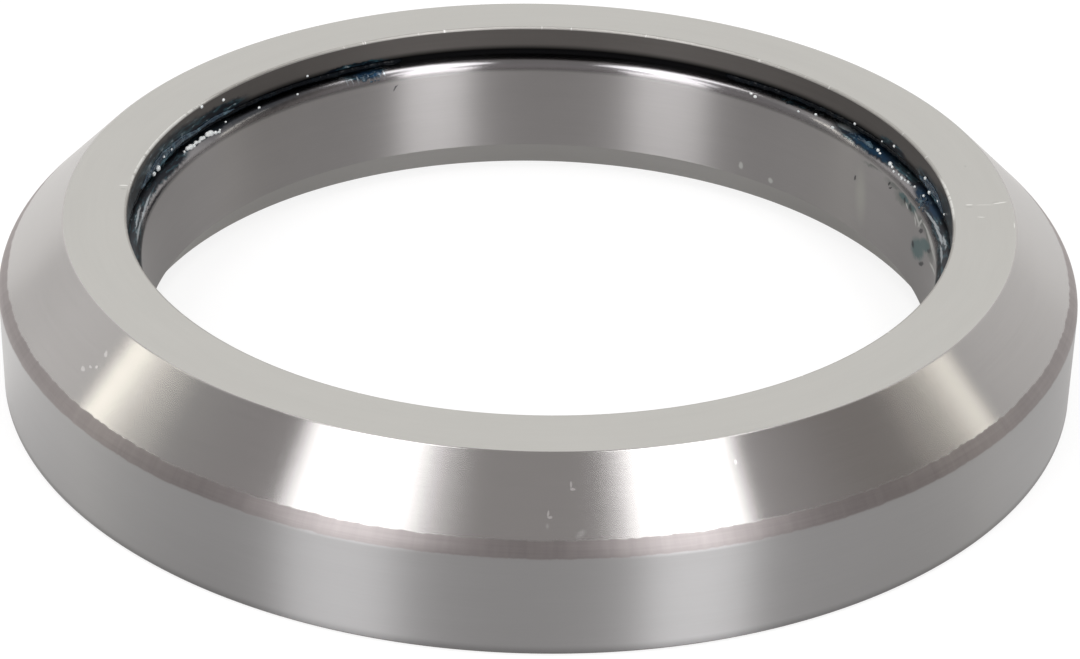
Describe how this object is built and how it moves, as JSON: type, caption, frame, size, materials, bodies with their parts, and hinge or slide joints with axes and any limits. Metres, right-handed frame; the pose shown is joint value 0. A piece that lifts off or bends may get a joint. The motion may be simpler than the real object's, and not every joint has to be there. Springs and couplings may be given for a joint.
{
  "type": "headset bearing",
  "caption": "Sealed angular contact cartridge bearing for a bicycle headset: chamfered outer ring, thin inner ring, balls in a cage, two seals.",
  "frame": {"origin": "centre of the bore on the plane of the base, on which both rings rest", "axes": "+Z along the bore, from the base to the face beside the outer ring's seat"},
  "size_m": [0.041, 0.041, 0.0065],
  "materials": {
    "ground_steel": "ground, satin on the face and the outside, brighter on the seat",
    "bore_steel": "finely ground",
    "cage_nylon": "moulded",
    "seal_rubber": "moulded, greasy",
    "ball_steel": "polished"
  },
  "bodies": {
    "outer": {"outer_ring": "ground_steel", "upper_seal": "seal_rubber", "lower_seal": "seal_rubber"},
    "inner": {"inner_ring": "bore_steel"},
    "cage": {"cage": "cage_nylon"},
    "ball_01": {"ball_01": "ball_steel"},
    "ball_02": {"ball_02": "ball_steel"},
    "ball_03": {"ball_03": "ball_steel"},
    "ball_04": {"ball_04": "ball_steel"},
    "ball_05": {"ball_05": "ball_steel"},
    "ball_06": {"ball_06": "ball_steel"},
    "ball_07": {"ball_07": "ball_steel"},
    "ball_08": {"ball_08": "ball_steel"},
    "ball_09": {"ball_09": "ball_steel"},
    "ball_10": {"ball_10": "ball_steel"},
    "ball_11": {"ball_11": "ball_steel"},
    "ball_12": {"ball_12": "ball_steel"},
    "ball_13": {"ball_13": "ball_steel"},
    "ball_14": {"ball_14": "ball_steel"},
    "ball_15": {"ball_15": "ball_steel"},
    "ball_16": {"ball_16": "ball_steel"},
    "ball_17": {"ball_17": "ball_steel"},
    "ball_18": {"ball_18": "ball_steel"},
    "ball_19": {"ball_19": "ball_steel"},
    "ball_20": {"ball_20": "ball_steel"},
    "ball_21": {"ball_21": "ball_steel"},
    "ball_22": {"ball_22": "ball_steel"},
    "ball_23": {"ball_23": "ball_steel"},
    "ball_24": {"ball_24": "ball_steel"},
    "ball_25": {"ball_25": "ball_steel"},
    "ball_26": {"ball_26": "ball_steel"}
  },
  "joints": [
    {"name": "inner_spin", "type": "hinge", "parent": "outer", "child": "inner", "pos_m": [0, 0, 0.00325], "axis": [0, 0, 1], "continuous": true},
    {"name": "cage_spin", "type": "hinge", "parent": "outer", "child": "cage", "pos_m": [0, 0, 0.00325], "axis": [0, 0, 1], "continuous": true},
    {"name": "ball_01_spin", "type": "hinge", "parent": "cage", "child": "ball_01", "pos_m": [0.0178, 0, 0.00325], "axis": [-0.7071, 0, 0.7071], "continuous": true},
    {"name": "ball_02_spin", "type": "hinge", "parent": "cage", "child": "ball_02", "pos_m": [0.01728, 0.00426, 0.00325], "axis": [-0.6866, -0.1692, 0.7071], "continuous": true},
    {"name": "ball_03_spin", "type": "hinge", "parent": "cage", "child": "ball_03", "pos_m": [0.01576, 0.00827, 0.00325], "axis": [-0.6261, -0.3286, 0.7071], "continuous": true},
    {"name": "ball_04_spin", "type": "hinge", "parent": "cage", "child": "ball_04", "pos_m": [0.01332, 0.0118, 0.00325], "axis": [-0.5293, -0.4689, 0.7071], "continuous": true},
    {"name": "ball_05_spin", "type": "hinge", "parent": "cage", "child": "ball_05", "pos_m": [0.01011, 0.01465, 0.00325], "axis": [-0.4017, -0.5819, 0.7071], "continuous": true},
    {"name": "ball_06_spin", "type": "hinge", "parent": "cage", "child": "ball_06", "pos_m": [0.00631, 0.01664, 0.00325], "axis": [-0.2507, -0.6612, 0.7071], "continuous": true},
    {"name": "ball_07_spin", "type": "hinge", "parent": "cage", "child": "ball_07", "pos_m": [0.00215, 0.01767, 0.00325], "axis": [-0.0852, -0.702, 0.7071], "continuous": true},
    {"name": "ball_08_spin", "type": "hinge", "parent": "cage", "child": "ball_08", "pos_m": [-0.00215, 0.01767, 0.00325], "axis": [0.0852, -0.702, 0.7071], "continuous": true},
    {"name": "ball_09_spin", "type": "hinge", "parent": "cage", "child": "ball_09", "pos_m": [-0.00631, 0.01664, 0.00325], "axis": [0.2507, -0.6612, 0.7071], "continuous": true},
    {"name": "ball_10_spin", "type": "hinge", "parent": "cage", "child": "ball_10", "pos_m": [-0.01011, 0.01465, 0.00325], "axis": [0.4017, -0.5819, 0.7071], "continuous": true},
    {"name": "ball_11_spin", "type": "hinge", "parent": "cage", "child": "ball_11", "pos_m": [-0.01332, 0.0118, 0.00325], "axis": [0.5293, -0.4689, 0.7071], "continuous": true},
    {"name": "ball_12_spin", "type": "hinge", "parent": "cage", "child": "ball_12", "pos_m": [-0.01576, 0.00827, 0.00325], "axis": [0.6261, -0.3286, 0.7071], "continuous": true},
    {"name": "ball_13_spin", "type": "hinge", "parent": "cage", "child": "ball_13", "pos_m": [-0.01728, 0.00426, 0.00325], "axis": [0.6866, -0.1692, 0.7071], "continuous": true},
    {"name": "ball_14_spin", "type": "hinge", "parent": "cage", "child": "ball_14", "pos_m": [-0.0178, 0, 0.00325], "axis": [0.7071, 0, 0.7071], "continuous": true},
    {"name": "ball_15_spin", "type": "hinge", "parent": "cage", "child": "ball_15", "pos_m": [-0.01728, -0.00426, 0.00325], "axis": [0.6866, 0.1692, 0.7071], "continuous": true},
    {"name": "ball_16_spin", "type": "hinge", "parent": "cage", "child": "ball_16", "pos_m": [-0.01576, -0.00827, 0.00325], "axis": [0.6261, 0.3286, 0.7071], "continuous": true},
    {"name": "ball_17_spin", "type": "hinge", "parent": "cage", "child": "ball_17", "pos_m": [-0.01332, -0.0118, 0.00325], "axis": [0.5293, 0.4689, 0.7071], "continuous": true},
    {"name": "ball_18_spin", "type": "hinge", "parent": "cage", "child": "ball_18", "pos_m": [-0.01011, -0.01465, 0.00325], "axis": [0.4017, 0.5819, 0.7071], "continuous": true},
    {"name": "ball_19_spin", "type": "hinge", "parent": "cage", "child": "ball_19", "pos_m": [-0.00631, -0.01664, 0.00325], "axis": [0.2507, 0.6612, 0.7071], "continuous": true},
    {"name": "ball_20_spin", "type": "hinge", "parent": "cage", "child": "ball_20", "pos_m": [-0.00215, -0.01767, 0.00325], "axis": [0.0852, 0.702, 0.7071], "continuous": true},
    {"name": "ball_21_spin", "type": "hinge", "parent": "cage", "child": "ball_21", "pos_m": [0.00215, -0.01767, 0.00325], "axis": [-0.0852, 0.702, 0.7071], "continuous": true},
    {"name": "ball_22_spin", "type": "hinge", "parent": "cage", "child": "ball_22", "pos_m": [0.00631, -0.01664, 0.00325], "axis": [-0.2507, 0.6612, 0.7071], "continuous": true},
    {"name": "ball_23_spin", "type": "hinge", "parent": "cage", "child": "ball_23", "pos_m": [0.01011, -0.01465, 0.00325], "axis": [-0.4017, 0.5819, 0.7071], "continuous": true},
    {"name": "ball_24_spin", "type": "hinge", "parent": "cage", "child": "ball_24", "pos_m": [0.01332, -0.0118, 0.00325], "axis": [-0.5293, 0.4689, 0.7071], "continuous": true},
    {"name": "ball_25_spin", "type": "hinge", "parent": "cage", "child": "ball_25", "pos_m": [0.01576, -0.00827, 0.00325], "axis": [-0.6261, 0.3286, 0.7071], "continuous": true},
    {"name": "ball_26_spin", "type": "hinge", "parent": "cage", "child": "ball_26", "pos_m": [0.01728, -0.00426, 0.00325], "axis": [-0.6866, 0.1692, 0.7071], "continuous": true}
  ],
  "couplings": [
    {"joint": "cage_spin", "follows": "inner_spin", "ratio": 0.46847},
    {"joint": "ball_01_spin", "follows": "inner_spin", "ratio": -5.584},
    {"joint": "ball_02_spin", "follows": "inner_spin", "ratio": -5.584},
    {"joint": "ball_03_spin", "follows": "inner_spin", "ratio": -5.584},
    {"joint": "ball_04_spin", "follows": "inner_spin", "ratio": -5.584},
    {"joint": "ball_05_spin", "follows": "inner_spin", "ratio": -5.584},
    {"joint": "ball_06_spin", "follows": "inner_spin", "ratio": -5.584},
    {"joint": "ball_07_spin", "follows": "inner_spin", "ratio": -5.584},
    {"joint": "ball_08_spin", "follows": "inner_spin", "ratio": -5.584},
    {"joint": "ball_09_spin", "follows": "inner_spin", "ratio": -5.584},
    {"joint": "ball_10_spin", "follows": "inner_spin", "ratio": -5.584},
    {"joint": "ball_11_spin", "follows": "inner_spin", "ratio": -5.584},
    {"joint": "ball_12_spin", "follows": "inner_spin", "ratio": -5.584},
    {"joint": "ball_13_spin", "follows": "inner_spin", "ratio": -5.584},
    {"joint": "ball_14_spin", "follows": "inner_spin", "ratio": -5.584},
    {"joint": "ball_15_spin", "follows": "inner_spin", "ratio": -5.584},
    {"joint": "ball_16_spin", "follows": "inner_spin", "ratio": -5.584},
    {"joint": "ball_17_spin", "follows": "inner_spin", "ratio": -5.584},
    {"joint": "ball_18_spin", "follows": "inner_spin", "ratio": -5.584},
    {"joint": "ball_19_spin", "follows": "inner_spin", "ratio": -5.584},
    {"joint": "ball_20_spin", "follows": "inner_spin", "ratio": -5.584},
    {"joint": "ball_21_spin", "follows": "inner_spin", "ratio": -5.584},
    {"joint": "ball_22_spin", "follows": "inner_spin", "ratio": -5.584},
    {"joint": "ball_23_spin", "follows": "inner_spin", "ratio": -5.584},
    {"joint": "ball_24_spin", "follows": "inner_spin", "ratio": -5.584},
    {"joint": "ball_25_spin", "follows": "inner_spin", "ratio": -5.584},
    {"joint": "ball_26_spin", "follows": "inner_spin", "ratio": -5.584}
  ]
}
